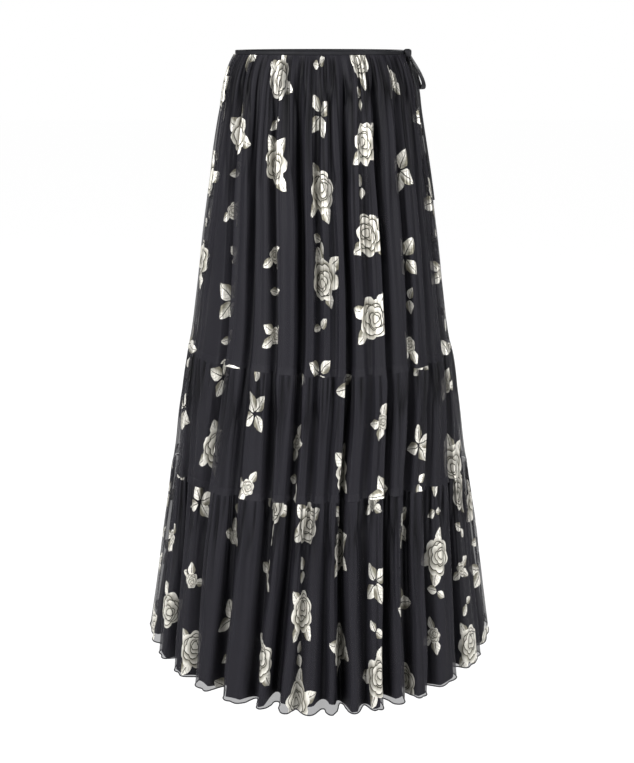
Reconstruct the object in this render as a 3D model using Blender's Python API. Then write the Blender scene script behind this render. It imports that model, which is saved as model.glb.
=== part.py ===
"""Long tiered skirt of sheer cloth, hollow as it hangs when it is worn.

Metres, +Z up, the front towards -Y. The origin is the middle of the waist opening,
level with the waistband's top edge, where the wearer holds the skirt up.
Three gathered tiers, each a front and a back panel, hang over a close slip, whose
folds lie inside theirs. A narrow waistband closes the top, and a tie of the same cloth
hangs from its left side.
"""

import bpy
import bmesh
import numpy as np
from collections import namedtuple
from math import radians, sin, cos, pi
from mathutils import Vector

# Driving sizes of the cloth
WALL = 0.0012
SEAM_GAP = 0.0003
LINING_WALL = 0.0010

# Heights, measured down from the waist
BAND_HEIGHT = 0.0055
BAND_THICKNESS = 0.0045
BAND_HALF_WIDTH = 0.1225
BAND_HALF_DEPTH = 0.0905
SEAM_ONE = 0.441
SEAM_TWO = 0.623
HEM_SIDE = 0.902
HEM_FRONT_DIP = 0.018
TIER_MIDDLES = ((BAND_HEIGHT + SEAM_ONE) / 2, (SEAM_ONE + SEAM_TWO) / 2, (SEAM_TWO + HEM_SIDE) / 2)
# The seams sway a little on their way round: height, waves round the skirt and start
SEAM_SWAYS = ((0.0022, 2, 0.8), (0.0010, 3, 0.0))

# The outline that the ridges of the folds reach, from the front and from the side.
# Each table's first row names its columns.
OUTLINE = (
    ("drop", "half_width", "half_depth"),
    (0.000, 0.1215, 0.0895),
    (0.020, 0.1318, 0.0985),
    (0.042, 0.1395, 0.1070),
    (0.088, 0.1470, 0.1160),
    (0.157, 0.1588, 0.1275),
    (0.252, 0.1730, 0.1420),
    (0.350, 0.1867, 0.1570),
    (0.425, 0.1979, 0.1690),
    (0.460, 0.2055, 0.1750),
    (0.530, 0.2168, 0.1850),
    (0.606, 0.2273, 0.1970),
    (0.640, 0.2335, 0.2040),
    (0.713, 0.2457, 0.2215),
    (0.824, 0.2623, 0.2475),
    (0.920, 0.2765, 0.2700),
)

# The slip, which hangs close inside the tiers and follows their main troughs: how far
# its own ridges lie inside the outline, and the ease between it and the tiers
LINING = (
    ("drop", "ridge_inset", "ease"),
    (0.0058, 0.0032, 0.0004),
    (0.030, 0.0072, 0.0014),
    (0.060, 0.0080, 0.0016),
    (0.441, 0.0088, 0.0016),
    (0.500, 0.0106, 0.0016),
    (0.623, 0.0110, 0.0016),
    (0.700, 0.0116, 0.0016),
    (0.920, 0.0092, 0.0016),
)
LINING_MOUTH_EASE = 0.0028
LINING_BOTTOM_EASE = 0.0022
LINING_MOUTH_LIMIT = 0.43
LINING_CLOSED_GAP = 0.016
LINING_OPEN_GAP = 0.030

# The main folds, round from the wearer's right side across the front, then the back.
# Angles are in degrees from the middle of the front, towards +X, where each trough
# crosses the waist, the two seams and the hem. Depths are in millimetres in each tier.
# Lean pulls the bottom of the trough to one side, as a share of its width.
FOLD_LEVELS = (0.0, SEAM_ONE, SEAM_TWO, 0.920)
Fold = namedtuple("Fold", "waist seam_one seam_two hem depth_1 depth_2 depth_3 lean")
FRONT_FOLDS = (
    Fold(-82.0, -82.0, -77.0, -70.0, 9, 14, 22, 0.2),
    Fold(-69.0, -69.0, -63.0, -58.0, 9, 13, 28, -0.3),
    Fold(-56.0, -45.5, -48.0, -46.0, 18, 20, 20, 0.3),
    Fold(-40.0, -32.0, -33.0, -34.5, 18, 14, 28, -0.2),
    Fold(-28.5, -20.0, -19.5, -22.2, 18, 22, 26, 0.2),
    Fold(-12.5, -8.5, -10.6, -15.0, 25, 22, 28, 0.1),
    Fold(-2.5, -0.7, -3.5, -7.2, 15, 13, 16, -0.3),
    Fold(5.0, 5.6, 2.4, 0.6, 9, 9, 18, 0.2),
    Fold(11.5, 12.2, 8.0, 7.2, 24, 28, 32, -0.1),
    Fold(20.0, 20.5, 16.0, 14.0, 11, 12, 20, 0.3),
    Fold(31.0, 30.5, 26.0, 21.6, 22, 20, 28, -0.3),
    Fold(46.0, 42.0, 33.5, 29.0, 18, 20, 26, 0.2),
    Fold(60.0, 54.0, 45.0, 38.0, 13, 14, 22, -0.2),
    Fold(73.0, 68.0, 59.0, 51.5, 11, 15, 26, 0.3),
    Fold(84.5, 81.0, 75.0, 69.0, 8, 13, 22, -0.2),
)
BACK_FOLDS = (
    Fold(98.0, 98.0, 97.0, 97.0, 9, 15, 24, 0.2),
    Fold(110.0, 109.5, 111.0, 109.0, 12, 16, 26, -0.3),
    Fold(123.5, 121.0, 120.0, 121.5, 18, 21, 28, 0.2),
    Fold(136.0, 135.0, 134.0, 134.0, 13, 14, 20, -0.1),
    Fold(148.0, 148.5, 149.0, 146.0, 22, 20, 28, 0.3),
    Fold(160.0, 160.0, 161.0, 158.5, 17, 24, 24, -0.2),
    Fold(170.5, 169.5, 171.5, 170.5, 21, 15, 30, 0.1),
    Fold(182.0, 182.0, 181.5, 183.0, 15, 20, 22, 0.3),
    Fold(194.0, 193.0, 194.5, 195.0, 24, 23, 28, -0.3),
    Fold(206.0, 207.0, 206.0, 207.0, 15, 14, 24, 0.2),
    Fold(219.5, 219.0, 220.0, 219.0, 20, 21, 28, -0.2),
    Fold(232.5, 233.0, 231.5, 232.0, 15, 18, 22, 0.1),
    Fold(246.0, 247.0, 245.0, 246.0, 12, 17, 26, -0.3),
    Fold(258.5, 259.0, 260.0, 260.5, 8, 14, 22, 0.2),
)
LEFT_SEAM = (-91.5, -91.5, -88.5, -85.0)
RIGHT_SEAM = (91.5, 89.5, 86.5, 83.5)

# How a main trough deepens and widens down the skirt. Gather is in metres, and each
# share multiplies the fold's own depth in that tier.
TROUGHS = (
    ("drop", "gather", "share_1", "share_2", "share_3", "half_mouth"),
    (0.000, 0.0016, 0.00, 0.00, 0.00, 0.0032),
    (0.020, 0.0010, 0.22, 0.00, 0.00, 0.0036),
    (0.050, 0.0000, 0.50, 0.00, 0.00, 0.0048),
    (0.140, 0.0000, 0.88, 0.00, 0.00, 0.0070),
    (0.300, 0.0000, 1.00, 0.00, 0.00, 0.0085),
    (0.441, 0.0000, 0.70, 0.05, 0.00, 0.0088),
    (0.500, 0.0000, 0.15, 0.82, 0.00, 0.0096),
    (0.570, 0.0000, 0.00, 1.00, 0.00, 0.0104),
    (0.623, 0.0000, 0.00, 0.72, 0.08, 0.0108),
    (0.690, 0.0000, 0.00, 0.12, 0.78, 0.0114),
    (0.800, 0.0000, 0.00, 0.00, 1.00, 0.0125),
    (0.925, 0.0000, 0.00, 0.00, 1.12, 0.0140),
)
BOTTOM_SHARE = 0.40
MOUTH_LIMIT = 0.27

# The small gathers on the ridges: a share of the way down the tier, and their depth.
# Pitch is the width of cloth, as hung, that one gather takes up.
TIER_NAMES = ("tier_1", "tier_2", "tier_3")
TIER_PITCH = (0.0160, 0.0215, 0.0240)
TIER_GATHERS = (
    ((0.0, 0.0015), (0.05, 0.0045), (0.25, 0.0048), (0.65, 0.0030), (1.0, 0.0)),
    ((0.0, 0.0), (0.16, 0.0065), (0.55, 0.0060), (0.85, 0.0035), (1.0, 0.0)),
    ((0.0, 0.0), (0.11, 0.0070), (0.40, 0.0068), (0.70, 0.0052), (1.0, 0.0040)),
)
GATHER_STRENGTHS = (1.0, 0.62, 0.86, 0.45, 0.75)
GATHER_SHIFTS = (0.05, -0.07, 0.02, 0.08, -0.04)
GATHER_MOUTH = 0.20
GATHER_DEPTH_LIMIT = 0.42
MOST_GATHERS = 3
FLAT_SHARE = 0.35

# Rows of each tier, as shares of the way from its top edge to its bottom edge
TIER_ROWS = (
    (0.0, 0.05, 0.20, 0.55, 1.0),
    (0.0, 0.18, 0.55, 1.0),
    (0.0, 0.12, 0.50, 1.0),
)
# The slip has a row beside each row of the tiers, and ends a little above their hem
LINING_ROWS = (
    (0, 0.0), (0, 0.05), (0, 0.20), (0, 0.55), (0, 1.0), (1, 0.18), (1, 0.55), (1, 1.0),
    (2, 0.12), (2, 0.50), (2, 0.990),
)

# The tie, along its middle: the drop, the angle, how far it stands off the ridges, its
# width and how far its face is turned towards the front
TIE_WALL = 0.0012
LOOP_PATH = (
    ("drop", "angle", "standoff", "width", "turn"),
    (0.0020, 82.0, 0.0096, 0.0050, 0.0),
    (0.0100, 81.2, 0.0110, 0.0078, 18.0),
    (0.0200, 80.2, 0.0118, 0.0096, 32.0),
    (0.0320, 79.2, 0.0122, 0.0104, 38.0),
    (0.0420, 78.6, 0.0122, 0.0106, 40.0),
    (0.0480, 78.4, 0.0118, 0.0106, 40.0),
    (0.0515, 78.4, 0.0108, 0.0106, 40.0),
    (0.0535, 78.4, 0.0093, 0.0106, 40.0),
    (0.0540, 78.4, 0.0076, 0.0106, 40.0),
    (0.0524, 78.4, 0.0060, 0.0106, 40.0),
    (0.0440, 78.6, 0.0049, 0.0104, 38.0),
    (0.0320, 79.2, 0.0044, 0.0098, 32.0),
    (0.0200, 80.2, 0.0037, 0.0080, 20.0),
    (0.0070, 82.0, 0.0030, 0.0046, 0.0),
)
SHORT_TAIL_PATH = (
    ("drop", "angle", "standoff", "width", "turn"),
    (0.0070, 79.0, 0.0028, 0.0046, 0.0),
    (0.0200, 75.4, 0.0018, 0.0070, 0.0),
    (0.0380, 73.2, 0.0016, 0.0085, 0.0),
    (0.0580, 72.8, 0.0018, 0.0085, 0.0),
    (0.0800, 73.2, 0.0022, 0.0080, 0.0),
)
LONG_TAIL_PATH = (
    ("drop", "angle", "standoff", "width", "turn"),
    (0.0070, 85.0, 0.0028, 0.0046, 0.0),
    (0.0200, 87.4, 0.0018, 0.0070, 0.0),
    (0.0450, 88.6, 0.0016, 0.0085, 0.0),
    (0.0850, 88.4, 0.0015, 0.0085, 0.0),
    (0.1300, 87.4, 0.0015, 0.0085, 0.0),
    (0.1750, 86.6, 0.0017, 0.0085, 0.0),
    (0.2150, 86.4, 0.0022, 0.0080, 0.0),
)
KNOT_ANGLE = 82.0
KNOT_SIZE = (0.0120, 0.0080, 0.0062)
KNOT_ROUNDING = 0.0020
KNOT_TOP = 0.0010

# Mesh settings
MITRE_LIMIT = 0.55
SHARP_ANGLE = radians(50)
BAND_STEPS = 72


def column(table, name):
    """One named column of a table as an array."""
    place = table[0].index(name)
    return np.array([row[place] for row in table[1:]], dtype=float)


def smooth(x, knots, values):
    """A smooth curve through the table's rows, read at x."""
    knots = np.asarray(knots, dtype=float)
    values = np.asarray(values, dtype=float)
    slopes = np.gradient(values, knots)
    x = np.clip(x, knots[0], knots[-1])
    i = np.clip(np.searchsorted(knots, x) - 1, 0, len(knots) - 2)
    step = knots[i + 1] - knots[i]
    t = (x - knots[i]) / step
    start = (1 + 2 * t) * (1 - t) ** 2 * values[i] + t * (1 - t) ** 2 * step * slopes[i]
    return start + t * t * (3 - 2 * t) * values[i + 1] + t * t * (t - 1) * step * slopes[i + 1]


def outline(drop):
    """Half width and half depth that the ridges reach at a drop."""
    drops = column(OUTLINE, "drop")
    half_width = smooth(drop, drops, column(OUTLINE, "half_width"))
    half_depth = smooth(drop, drops, column(OUTLINE, "half_depth"))
    return half_width, half_depth


def plan_point(angle, half_width, half_depth, inset):
    """Plan position on the outline at an angle in radians, moved in along its normal."""
    out_x = np.sin(angle) / half_width
    out_y = -np.cos(angle) / half_depth
    length = np.hypot(out_x, out_y)
    x = half_width * np.sin(angle) - inset * out_x / length
    y = -half_depth * np.cos(angle) - inset * out_y / length
    return x, y


def arc_rate(angle, half_width, half_depth):
    """Metres round the outline for each radian of angle."""
    return np.hypot(half_width * np.cos(angle), half_depth * np.sin(angle))


def line_angle(levels, drop):
    """Where a fold or a side seam lies at a drop, in radians."""
    return np.radians(smooth(drop, FOLD_LEVELS, levels))


def trough(fold, drop):
    """Depth and half mouth of a main fold at a drop."""
    drops = column(TROUGHS, "drop")
    depth = np.interp(drop, drops, column(TROUGHS, "gather"))
    own_depths = {"share_1": fold.depth_1, "share_2": fold.depth_2, "share_3": fold.depth_3}
    for share, millimetres in own_depths.items():
        depth = depth + np.interp(drop, drops, column(TROUGHS, share)) * millimetres / 1000
    return depth, np.interp(drop, drops, column(TROUGHS, "half_mouth"))


def tier_edges(tier, angle):
    """Drops of a tier's top and bottom edges at an angle, with the seam gaps."""
    sway = sum(height * np.sin(waves * angle + start) for height, waves, start in SEAM_SWAYS)
    seam_one = SEAM_ONE + sway
    seam_two = SEAM_TWO - sway
    hem = HEM_SIDE + HEM_FRONT_DIP * np.cos(angle) ** 2
    tops = (BAND_HEIGHT + SEAM_GAP + 0 * angle, seam_one + SEAM_GAP, seam_two + SEAM_GAP)
    return tops[tier], (seam_one, seam_two, hem)[tier]


def gathers_in_gap(start, end, tier):
    """How many small gathers a ridge takes between two neighbouring lines."""
    half_width, half_depth = outline(TIER_MIDDLES[tier])
    first = line_angle(start, TIER_MIDDLES[tier])
    last = line_angle(end, TIER_MIDDLES[tier])
    width = (last - first) * arc_rate((first + last) / 2, half_width, half_depth)
    return int(min(MOST_GATHERS, max(0, round(width / TIER_PITCH[tier]) - 1)))


def line_places(lines, tier, share):
    """Angle and drop of each fold or side seam at a share of the way down a tier."""
    angles = [0.0] * len(lines)
    for _ in range(3):
        edges = [tier_edges(tier, angle) for angle in angles]
        drops = [float(top + (bottom - top) * share) for top, bottom in edges]
        angles = [float(line_angle(line, drop)) for line, drop in zip(lines, drops)]
    return angles, drops


def gap_between(angles, drops, k):
    """Metres round the outline for each radian, and the gap, between two neighbours."""
    half_width, half_depth = outline((drops[k] + drops[k + 1]) / 2)
    rate = float(arc_rate((angles[k] + angles[k + 1]) / 2, half_width, half_depth))
    return rate, (angles[k + 1] - angles[k]) * rate


def panel_columns(folds, start_seam, end_seam, tier, share):
    """Angles and insets of a panel's columns at a share of the way down a tier."""
    lines = [start_seam] + [fold[:4] for fold in folds] + [end_seam]
    angles, drops = line_places(lines, tier, share)
    columns = [(angles[0], 0.0)]
    # Each tier starts at another place in the lists of strengths and shifts
    strength = tier * 2
    for k in range(len(lines) - 1):
        rate, gap = gap_between(angles, drops, k)
        if k > 0:
            columns += trough_side(folds[k - 1], angles[k], drops[k], gap, rate, 1)
        next_side = []
        if k < len(folds):
            next_side = trough_side(folds[k], angles[k + 1], drops[k + 1], gap, rate, -1)
        free_start = columns[-1][0]
        free_end = (next_side + [(angles[-1], 0.0)])[0][0]
        count = gathers_in_gap(lines[k], lines[k + 1], tier)
        for index in range(count):
            strength += 1
            columns += gather(free_start, free_end, index, count, strength, tier, share, rate)
        columns += next_side
    columns.append((angles[-1], 0.0))
    return columns


def lining_columns(folds, start_seam, end_seam, tier, share):
    """Angles and insets of the slip, whose troughs wrap round the tiers' main troughs."""
    lines = [start_seam] + [fold[:4] for fold in folds] + [end_seam]
    angles, drops = line_places(lines, tier, share)
    table = column(LINING, "drop")
    ridge = np.interp(drops, table, column(LINING, "ridge_inset"))
    ease = np.interp(drops, table, column(LINING, "ease"))
    bottoms = [float(ridge[0])]
    for k, fold in enumerate(folds):
        depth = float(trough(fold, drops[k + 1])[0])
        bottoms.append(max(float(ridge[k + 1]), depth + WALL + float(ease[k + 1])))
    bottoms.append(float(ridge[-1]))
    columns = [(angles[0], float(ridge[0]))]
    for k in range(len(lines) - 1):
        rate, gap = gap_between(angles, drops, k)
        open_share = min(1.0, max(0.0, (gap - LINING_CLOSED_GAP) / (LINING_OPEN_GAP - LINING_CLOSED_GAP)))
        closed = min(bottoms[k], bottoms[k + 1])
        top = closed + (float(ridge[k]) - closed) * open_share
        for side, line in ((1, k), (-1, k + 1)):
            if not 0 < line < len(lines) - 1:
                continue
            fold = folds[line - 1]
            mouth = min(float(trough(fold, drops[line])[1]), MOUTH_LIMIT * gap)
            shoulder = min(mouth + LINING_MOUTH_EASE, LINING_MOUTH_LIMIT * gap)
            bottom = side * (BOTTOM_SHARE * mouth + LINING_BOTTOM_EASE) + fold.lean * mouth
            pair = [(angles[line] + bottom / rate, bottoms[line]),
                    (angles[line] + side * shoulder / rate, top)]
            columns += pair if side > 0 else pair[::-1]
    columns.append((angles[-1], float(ridge[-1])))
    return columns


def trough_side(fold, centre, drop, gap, rate, side):
    """Shoulder and bottom columns of a trough, on its left (-1) or right (1)."""
    depth, mouth = trough(fold, drop)
    mouth = min(float(mouth), MOUTH_LIMIT * gap)
    shoulder = centre + side * mouth / rate
    bottom = centre + (side * BOTTOM_SHARE + fold.lean) * mouth / rate
    pair = [(bottom, float(depth)), (shoulder, 0.0)]
    return pair if side > 0 else pair[::-1]


def gather(free_start, free_end, index, count, strength, tier, share, rate):
    """Three columns of one small gather on a ridge."""
    room = (free_end - free_start) * rate / (count + FLAT_SHARE)
    shift = GATHER_SHIFTS[strength % len(GATHER_SHIFTS)]
    place = (index + 0.5 + shift) / count
    centre = free_start + (free_end - free_start) * place
    shares = [row[0] for row in TIER_GATHERS[tier]]
    depths = [row[1] for row in TIER_GATHERS[tier]]
    depth = float(np.interp(share, shares, depths))
    depth = min(depth * GATHER_STRENGTHS[strength % len(GATHER_STRENGTHS)], GATHER_DEPTH_LIMIT * room)
    mouth = GATHER_MOUTH * room / rate
    return [(centre - mouth, 0.0), (centre, depth), (centre + mouth, 0.0)]


def inner_points(points, wall):
    """The wall's inner points in plan, with mitred corners, left of each run of points."""
    inner = []
    for i, (x, y) in enumerate(points):
        before = points[max(i - 1, 0)]
        after = points[min(i + 1, len(points) - 1)]
        edges = []
        for a, b in ((before, (x, y)), ((x, y), after)):
            edge = Vector((b[0] - a[0], b[1] - a[1]))
            if edge.length > 0:
                edge.normalize()
                edges.append(Vector((-edge.y, edge.x)))
        normal = sum(edges, Vector((0, 0))).normalized()
        spread = max(MITRE_LIMIT, normal.dot(edges[0]))
        inner.append((x + normal.x * wall / spread, y + normal.y * wall / spread))
    return inner


def new_object(name, mesh_data, material):
    """Links a mesh as a named object, with its faces pointing out."""
    mesh = bpy.data.meshes.new(name)
    mesh_data.normal_update()
    bmesh.ops.recalc_face_normals(mesh_data, faces=mesh_data.faces)
    mesh_data.to_mesh(mesh)
    mesh_data.free()
    mesh.shade_smooth()
    mesh.set_sharp_from_angle(angle=SHARP_ANGLE)
    mesh.materials.append(material)
    piece = bpy.data.objects.new(name, mesh)
    bpy.context.scene.collection.objects.link(piece)
    return piece


def wall_panel(name, outer_rows, inner_rows, material):
    """A closed wall between an outer and an inner grid of points."""
    shape = bmesh.new()
    outer = [[shape.verts.new(point) for point in row] for row in outer_rows]
    inner = [[shape.verts.new(point) for point in row] for row in inner_rows]
    last_row = len(outer) - 1
    last_column = len(outer[0]) - 1
    for r in range(last_row):
        for c in range(last_column):
            shape.faces.new((outer[r][c], outer[r + 1][c], outer[r + 1][c + 1], outer[r][c + 1]))
            shape.faces.new((inner[r][c], inner[r][c + 1], inner[r + 1][c + 1], inner[r + 1][c]))
    for c in range(last_column):
        shape.faces.new((outer[0][c], outer[0][c + 1], inner[0][c + 1], inner[0][c]))
        shape.faces.new((outer[last_row][c + 1], outer[last_row][c],
                         inner[last_row][c], inner[last_row][c + 1]))
    for r in range(last_row):
        shape.faces.new((outer[r][0], inner[r][0], inner[r + 1][0], outer[r + 1][0]))
        shape.faces.new((outer[r][last_column], outer[r + 1][last_column],
                         inner[r + 1][last_column], inner[r][last_column]))
    return new_object(name, shape, material)


def seamed_panel(name, side, rows, columns_at, wall, material):
    """A front or back panel between the side seams, row by row down its tiers."""
    folds, start, end = {
        "front": (FRONT_FOLDS, LEFT_SEAM, RIGHT_SEAM),
        "back": (BACK_FOLDS, RIGHT_SEAM, tuple(angle + 360 for angle in LEFT_SEAM)),
    }[side]
    outer_rows = []
    inner_rows = []
    for tier, share in rows:
        columns = columns_at(folds, start, end, tier, share)
        points = []
        heights = []
        for place, (angle, inset) in enumerate(columns):
            top, bottom = tier_edges(tier, angle)
            drop = float(top + (bottom - top) * share)
            half_width, half_depth = outline(drop)
            half_gap = SEAM_GAP / 2 / float(arc_rate(angle, half_width, half_depth))
            if place == 0:
                angle += half_gap
            if place == len(columns) - 1:
                angle -= half_gap
            x, y = plan_point(angle, half_width, half_depth, inset)
            points.append((float(x), float(y)))
            heights.append(-drop)
        inner = inner_points(points, wall)
        outer_rows.append([(x, y, z) for (x, y), z in zip(points, heights)])
        inner_rows.append([(x, y, z) for (x, y), z in zip(inner, heights)])
    return wall_panel(name, outer_rows, inner_rows, material)


def waistband(material):
    """The flat band that closes the top: a rectangle carried round the waist."""
    shape = bmesh.new()
    rings = []
    outer_edge = ((0.0, 0.0), (0.0, -BAND_HEIGHT))
    inner_edge = ((BAND_THICKNESS, -BAND_HEIGHT), (BAND_THICKNESS, 0.0))
    for inset, height in outer_edge + inner_edge:
        ring = []
        for step in range(BAND_STEPS):
            angle = 2 * pi * step / BAND_STEPS
            x, y = plan_point(angle, BAND_HALF_WIDTH, BAND_HALF_DEPTH, inset)
            ring.append(shape.verts.new((x, y, height)))
        rings.append(ring)
    for upper, lower in zip(rings, rings[1:] + rings[:1]):
        for step in range(BAND_STEPS):
            after = (step + 1) % BAND_STEPS
            shape.faces.new((upper[step], lower[step], lower[after], upper[after]))
    return new_object("waistband", shape, material)


def strip(name, path, material):
    """A flat band of cloth along a path that stands off the ridges."""
    middles = []
    sides = []
    for drop, degrees, standoff, _, turn in path[1:]:
        angle = radians(degrees)
        half_width, half_depth = outline(drop)
        x, y = plan_point(angle, half_width, half_depth, -standoff)
        middles.append(Vector((float(x), float(y), -drop)))
        along = Vector((half_width * cos(angle), half_depth * sin(angle), 0.0)).normalized()
        outward = Vector((along.y, -along.x, 0.0))
        sides.append(along * cos(radians(turn)) + outward * sin(radians(turn)))
    shape = bmesh.new()
    sections = []
    last = len(middles) - 1
    for i, width in enumerate(column(path, "width")):
        forward = (middles[min(i + 1, last)] - middles[max(i - 1, 0)]).normalized()
        face = forward.cross(sides[i]).normalized() * TIE_WALL / 2
        edge = sides[i] * float(width) / 2
        corners = (middles[i] - edge - face, middles[i] + edge - face,
                   middles[i] + edge + face, middles[i] - edge + face)
        sections.append([shape.verts.new(corner) for corner in corners])
    for first, second in zip(sections, sections[1:]):
        for c in range(4):
            after = (c + 1) % 4
            shape.faces.new((first[c], first[after], second[after], second[c]))
    shape.faces.new(sections[0][::-1])
    shape.faces.new(sections[-1])
    return new_object(name, shape, material)


def knot(material):
    """The small tight knot of the tie, just outside the waistband."""
    angle = radians(KNOT_ANGLE)
    shape = bmesh.new()
    bmesh.ops.create_cube(shape, size=1.0)
    bmesh.ops.scale(shape, vec=KNOT_SIZE, verts=shape.verts)
    bmesh.ops.bevel(shape, geom=shape.edges[:], offset=KNOT_ROUNDING, segments=2, affect="EDGES")
    piece = new_object("tie_knot", shape, material)
    standoff = SEAM_GAP + KNOT_SIZE[1] / 2
    x, y = plan_point(angle, BAND_HALF_WIDTH, BAND_HALF_DEPTH, -standoff)
    piece.location = (float(x), float(y), KNOT_TOP - KNOT_SIZE[2] / 2)
    tangent = Vector((BAND_HALF_WIDTH * cos(angle), BAND_HALF_DEPTH * sin(angle), 0.0))
    piece.rotation_euler = (0.0, 0.0, float(np.arctan2(tangent.y, tangent.x)))
    return piece


def finish(name, colour, roughness, sheen):
    """A plain cloth material."""
    material = bpy.data.materials.new(name)
    material.use_nodes = True
    shader = material.node_tree.nodes["Principled BSDF"]
    shader.inputs["Base Color"].default_value = (*colour, 1.0)
    shader.inputs["Roughness"].default_value = roughness
    shader.inputs["Metallic"].default_value = 0.0
    shader.inputs["Sheen Weight"].default_value = sheen
    return material


for old in list(bpy.data.objects):
    bpy.data.objects.remove(old, do_unlink=True)

waistband(finish("band_cloth", (0.012, 0.012, 0.015), 0.70, 0.10))
for panel_side in ("front", "back"):
    slip_cloth = finish(f"lining_{panel_side}_cloth", (0.008, 0.008, 0.010), 0.55, 0.05)
    slip_name = f"lining_{panel_side}"
    seamed_panel(slip_name, panel_side, LINING_ROWS, lining_columns, LINING_WALL, slip_cloth)
    for tier_index, tier_name in enumerate(TIER_NAMES):
        name = f"{tier_name}_{panel_side}"
        cloth = finish(f"{name}_cloth", (0.022, 0.022, 0.028), 0.75, 0.25)
        tier_rows = [(tier_index, share) for share in TIER_ROWS[tier_index]]
        seamed_panel(name, panel_side, tier_rows, panel_columns, WALL, cloth)
knot(finish("knot_cloth", (0.015, 0.015, 0.018), 0.70, 0.15))
strip("tie_loop", LOOP_PATH, finish("loop_cloth", (0.015, 0.015, 0.018), 0.70, 0.15))
strip("tie_tail_short", SHORT_TAIL_PATH, finish("short_tail_cloth", (0.015, 0.015, 0.018), 0.70, 0.15))
strip("tie_tail_long", LONG_TAIL_PATH, finish("long_tail_cloth", (0.015, 0.015, 0.018), 0.70, 0.15))
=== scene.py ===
import bmesh
import bpy
import numpy as np
from collections import namedtuple
from math import cos, pi, radians, sin
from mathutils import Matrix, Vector


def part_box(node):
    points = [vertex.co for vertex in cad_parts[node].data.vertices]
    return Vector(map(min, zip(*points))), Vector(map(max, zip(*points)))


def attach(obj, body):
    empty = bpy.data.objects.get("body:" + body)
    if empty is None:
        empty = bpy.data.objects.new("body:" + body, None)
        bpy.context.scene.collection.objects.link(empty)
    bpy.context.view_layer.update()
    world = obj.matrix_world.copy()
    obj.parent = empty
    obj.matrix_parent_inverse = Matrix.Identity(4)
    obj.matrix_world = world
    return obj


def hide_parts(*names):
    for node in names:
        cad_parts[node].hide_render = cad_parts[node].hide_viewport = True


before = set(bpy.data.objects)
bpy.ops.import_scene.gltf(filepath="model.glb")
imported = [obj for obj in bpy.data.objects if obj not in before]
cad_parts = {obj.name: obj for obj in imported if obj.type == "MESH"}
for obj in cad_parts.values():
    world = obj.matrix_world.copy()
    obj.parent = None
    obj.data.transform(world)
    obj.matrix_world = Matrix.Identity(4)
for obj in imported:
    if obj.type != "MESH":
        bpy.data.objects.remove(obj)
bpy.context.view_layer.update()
bpy.ops.object.select_all(action="DESELECT")

# The waistband.
# A narrow straight band of the plain dark crepe, folded double over a soft stay. The
# tops of the gathers are caught inside it, and it is edge-stitched along the fold.
BAND_ROUND = 0.0011
BAND_WALL = 0.0042
BAND_SIDES = 180
BAND_BLACK = (0.0075, 0.0075, 0.0095, 1.0)
BAND_ROUGHNESS = 0.62
# Waves of dye and of crepe grain for each metre, and how high the grain stands
DYE_SCALE = 45.0
CREPE_SCALE = 2600.0
GRAIN_HEIGHT = 0.0003
PALER_DYE = 1.7


class Nodes:
    """Short calls for building one node tree, from left to right."""

    def __init__(self, tree):
        self.tree = tree

    def add(self, kind, inputs=(), **settings):
        node = self.tree.nodes.new(kind)
        for name, value in settings.items():
            setattr(node, name, value)
        for slot, value in dict(inputs).items():
            self.feed(node.inputs[slot], value)
        return node

    def feed(self, socket, value):
        if isinstance(value, bpy.types.NodeSocket):
            self.tree.links.new(value, socket)
        else:
            socket.default_value = value

    def math(self, operation, first, second=None, third=None):
        node = self.add("ShaderNodeMath", operation=operation)
        for slot, value in enumerate((first, second, third)):
            if value is not None:
                self.feed(node.inputs[slot], value)
        return node.outputs[0]

    def vector(self, operation, first, second=None):
        node = self.add("ShaderNodeVectorMath", operation=operation)
        self.feed(node.inputs[0], first)
        if second is not None:
            self.feed(node.inputs[1], second)
        return node.outputs["Value" if operation == "LENGTH" else "Vector"]

    def turn(self, vector, angle):
        node = self.add("ShaderNodeVectorRotate", rotation_type="Z_AXIS")
        self.feed(node.inputs["Vector"], vector)
        self.feed(node.inputs["Angle"], angle)
        return node.outputs["Vector"]

    def parts(self, vector):
        return self.add("ShaderNodeSeparateXYZ", {"Vector": vector}).outputs

    def joined(self, x, y):
        return self.add("ShaderNodeCombineXYZ", {"X": x, "Y": y}).outputs[0]

    def ramp(self, value, low, high, start, end):
        limits = {"Value": value, "From Min": low, "From Max": high, "To Min": start, "To Max": end}
        return self.add("ShaderNodeMapRange", limits).outputs[0]

    def noise(self, vector, scale, detail=2.0):
        facts = {"Vector": vector, "Scale": scale, "Detail": detail}
        return self.add("ShaderNodeTexNoise", facts).outputs["Fac"]

    def mix(self, share, first, second):
        node = self.add("ShaderNodeMix", data_type="RGBA")
        self.feed(node.inputs["Factor"], share)
        self.feed(node.inputs["A"], first)
        self.feed(node.inputs["B"], second)
        return next(end for end in node.outputs if end.name == "Result" and end.type == "RGBA")

    def greatest(self, values):
        result = values[0]
        for value in values[1:]:
            result = self.math("MAXIMUM", result, value)
        return result

    def bump(self, height, strength, distance):
        facts = {"Height": height, "Strength": strength, "Distance": distance}
        return self.add("ShaderNodeBump", facts).outputs["Normal"]


def new_material(name):
    material = bpy.data.materials.new(name)
    material.use_nodes = True
    return material, Nodes(material.node_tree), material.node_tree.nodes["Principled BSDF"]


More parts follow.
